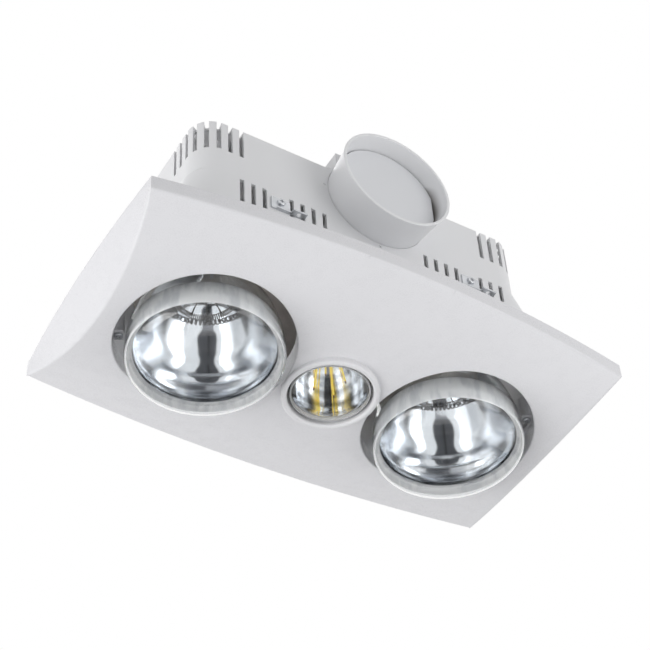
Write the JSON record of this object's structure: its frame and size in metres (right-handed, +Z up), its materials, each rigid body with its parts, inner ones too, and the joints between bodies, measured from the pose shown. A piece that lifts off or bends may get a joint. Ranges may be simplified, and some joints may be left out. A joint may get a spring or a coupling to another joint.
{
  "type": "bathroom ceiling heater",
  "caption": "Ceiling-mounted bathroom heater with heat lamps, a small lamp, a ducted exhaust fan and a damper flap in its side spigot.",
  "frame": {"origin": "centre of the fascia in the ceiling plane", "axes": "+Z up into the ceiling, X along the fascia, -Y out of the duct spigot"},
  "size_m": [0.439, 0.255, 0.2278],
  "materials": {
    "white_cover": "satin moulded",
    "white_trim": "satin moulded",
    "white_body": "satin moulded",
    "grey_flap": "satin moulded",
    "zinc": "bright zinc plate",
    "steel": "ground",
    "lamp_glass": "clear, silvered behind",
    "cap_metal": "pressed",
    "filament_wire": "drawn tungsten",
    "yellow_phosphor": "silicone phosphor",
    "porcelain": "glazed porcelain",
    "shield_aluminium": "mill finish",
    "black_plastic": "moulded",
    "dark_plastic": "moulded",
    "brass_fitting": "turned",
    "rotor_steel": "laminated",
    "copper_winding": "enamelled",
    "bronze_bush": "sintered",
    "black_rubber": "moulded",
    "terminal_plastic": "moulded",
    "lead_insulation": "silicone sleeve",
    "earth_insulation": "silicone sleeve"
  },
  "bodies": {
    "root": {"fascia": "white_cover", "fascia_screws": "zinc", "centre_trim_ring": "white_trim", "housing": "white_body", "duct_spigot": "white_body", "spigot_screws": "zinc", "damper_pin": "steel", "mounting_brackets": "zinc", "bracket_screws": "zinc", "left_lamp_glass": "lamp_glass", "left_lamp_cap": "cap_metal", "left_lamp_stem": "lamp_glass", "left_lamp_filament": "filament_wire", "right_lamp_glass": "lamp_glass", "right_lamp_cap": "cap_metal", "right_lamp_stem": "lamp_glass", "right_lamp_filament": "filament_wire", "centre_lamp_glass": "lamp_glass", "centre_lamp_cap": "cap_metal", "centre_lamp_stem": "lamp_glass", "centre_lamp_filaments": "yellow_phosphor", "left_lamp_holder": "porcelain", "right_lamp_holder": "porcelain", "centre_lamp_holder": "porcelain", "left_lamp_hanger": "zinc", "right_lamp_hanger": "zinc", "centre_lamp_hanger": "zinc", "holder_screws": "zinc", "hanger_screws": "zinc", "heat_shield": "shield_aluminium", "casing_screws": "zinc", "thermal_cutouts": "black_plastic", "earth_screw": "brass_fitting", "fan_scroll": "white_body", "scroll_lid": "white_body", "motor_stator": "rotor_steel", "motor_coils": "copper_winding", "motor_lower_strap": "zinc", "motor_upper_strap": "zinc", "motor_lower_bearing": "bronze_bush", "motor_upper_bearing": "bronze_bush", "motor_spacers": "steel", "motor_mounts": "black_rubber", "motor_bolts": "zinc", "terminal_block": "terminal_plastic", "terminal_screws": "brass_fitting", "wiring_cover": "white_body", "wiring_cover_screws": "zinc", "cable_gland": "black_plastic", "gland_nut": "black_plastic", "lead_grommet": "black_rubber", "lamp_leads": "lead_insulation", "motor_lead": "lead_insulation", "earth_lead": "earth_insulation"},
    "fan_rotor": {"impeller": "dark_plastic", "impeller_nut": "brass_fitting", "rotor_shaft": "steel", "motor_rotor": "rotor_steel"},
    "damper": {"damper_flap": "grey_flap"}
  },
  "joints": [
    {"name": "fan_spin", "type": "hinge", "parent": "root", "child": "fan_rotor", "pos_m": [-0.023, 0.008, 0.12], "axis": [0, 0, 1], "continuous": true},
    {"name": "damper_swing", "type": "hinge", "parent": "root", "child": "damper", "pos_m": [0.0216, -0.1014, 0.1125], "axis": [0, 0, 1], "range_deg": [0, 50]}
  ]
}
